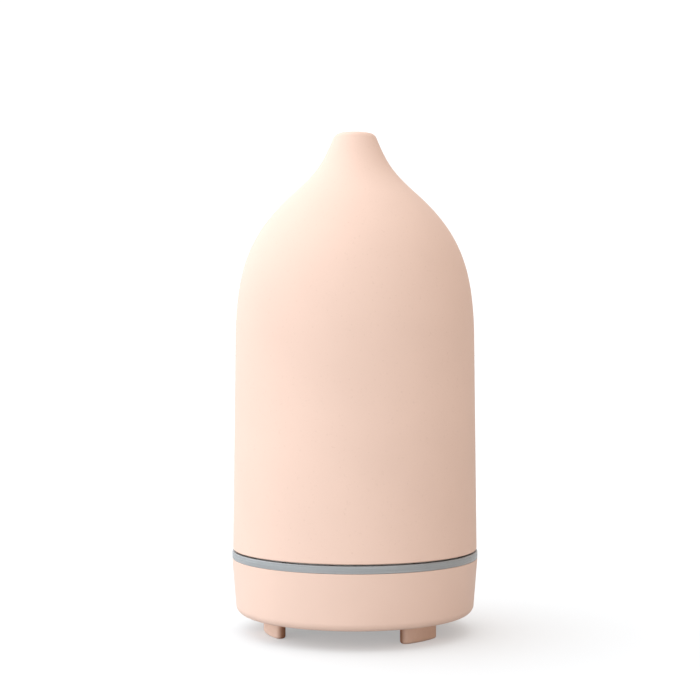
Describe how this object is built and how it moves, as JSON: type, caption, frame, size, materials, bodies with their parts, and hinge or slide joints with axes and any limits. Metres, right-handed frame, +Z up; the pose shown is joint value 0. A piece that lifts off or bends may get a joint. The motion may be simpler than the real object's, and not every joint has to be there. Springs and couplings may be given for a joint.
{
  "type": "essential oil diffuser",
  "caption": "Ultrasonic essential oil diffuser: tall bottle-shaped stone-look cover over a water tank, on a round base with a light ring, fan, driver board and rear push buttons.",
  "frame": {"origin": "centre line of the object at the underside of its feet", "axes": "+Z up, -Y towards the front, +Y towards the rear with its buttons and power socket"},
  "size_m": [0.091, 0.091, 0.1847],
  "materials": {
    "peach_stone": "matte unglazed, very fine grain",
    "peach_plastic": "matte moulded",
    "frosted_plastic": "frosted translucent, fine brushed",
    "white_plastic": "satin moulded",
    "black_plastic": "moulded",
    "foot_rubber": "matte",
    "grey_silicone": "matte",
    "board_green": "solder mask on glass laminate",
    "board_white": "white solder mask",
    "screw_steel": "zinc-plated",
    "aluminium": "satin",
    "ferrite": "matt sintered",
    "led_resin": "clear yellow resin",
    "wire_red": "insulated wire"
  },
  "bodies": {
    "base": {"light_ring": "frosted_plastic", "base_shell": "peach_plastic", "bottom_cover": "peach_plastic", "foot_left": "foot_rubber", "foot_right": "foot_rubber", "foot_rear": "foot_rubber", "water_tank": "white_plastic", "air_duct": "white_plastic", "mist_disc": "screw_steel", "disc_seal": "grey_silicone", "disc_retainer": "white_plastic", "fan_frame": "black_plastic", "main_board": "board_green", "power_inductor": "ferrite", "capacitor": "aluminium", "board_chip": "black_plastic", "power_transistor": "black_plastic", "disc_connector": "board_white", "fan_connector": "board_white", "led_connector": "board_white", "heat_sink": "aluminium", "led_board": "board_white", "rear_board": "board_green", "mist_switch": "black_plastic", "light_switch": "black_plastic", "power_socket": "black_plastic", "socket_pin": "screw_steel", "disc_wire": "wire_red", "fan_wire": "wire_red", "led_wire": "wire_red", "led_1": "led_resin", "led_2": "led_resin", "led_3": "led_resin", "led_4": "led_resin", "led_5": "led_resin", "led_6": "led_resin", "bottom_screw_1": "screw_steel", "bottom_screw_2": "screw_steel", "bottom_screw_3": "screw_steel", "bottom_screw_4": "screw_steel", "tank_screw_1": "screw_steel", "tank_screw_2": "screw_steel", "tank_screw_3": "screw_steel", "retainer_screw_1": "screw_steel", "retainer_screw_2": "screw_steel", "retainer_screw_3": "screw_steel", "fan_screw_1": "screw_steel", "fan_screw_2": "screw_steel", "board_screw_1": "screw_steel", "board_screw_2": "screw_steel"},
    "lid": {"reservoir_lid": "white_plastic"},
    "cover": {"stone_cover": "peach_stone"},
    "rotor": {"fan_rotor": "black_plastic"},
    "mist_key": {"mist_button": "peach_plastic", "mist_plunger": "white_plastic"},
    "light_key": {"light_button": "peach_plastic", "light_plunger": "white_plastic"}
  },
  "joints": [
    {"name": "lid_lift", "type": "slide", "parent": "base", "child": "lid", "axis": [0, 0, 1], "range_m": [0, 0.07]},
    {"name": "cover_lift", "type": "slide", "parent": "lid", "child": "cover", "axis": [0, 0, 1], "range_m": [0, 0.15]},
    {"name": "fan_spin", "type": "hinge", "parent": "base", "child": "rotor", "pos_m": [-0.015, 0, 0.0155], "axis": [0, 0, 1], "continuous": true},
    {"name": "mist_button_press", "type": "slide", "parent": "base", "child": "mist_key", "axis": [0, -1, 0], "range_m": [0, 0.0004], "stiffness_N_per_m": 1000},
    {"name": "light_button_press", "type": "slide", "parent": "base", "child": "light_key", "axis": [0, -1, 0], "range_m": [0, 0.0004], "stiffness_N_per_m": 1000}
  ]
}
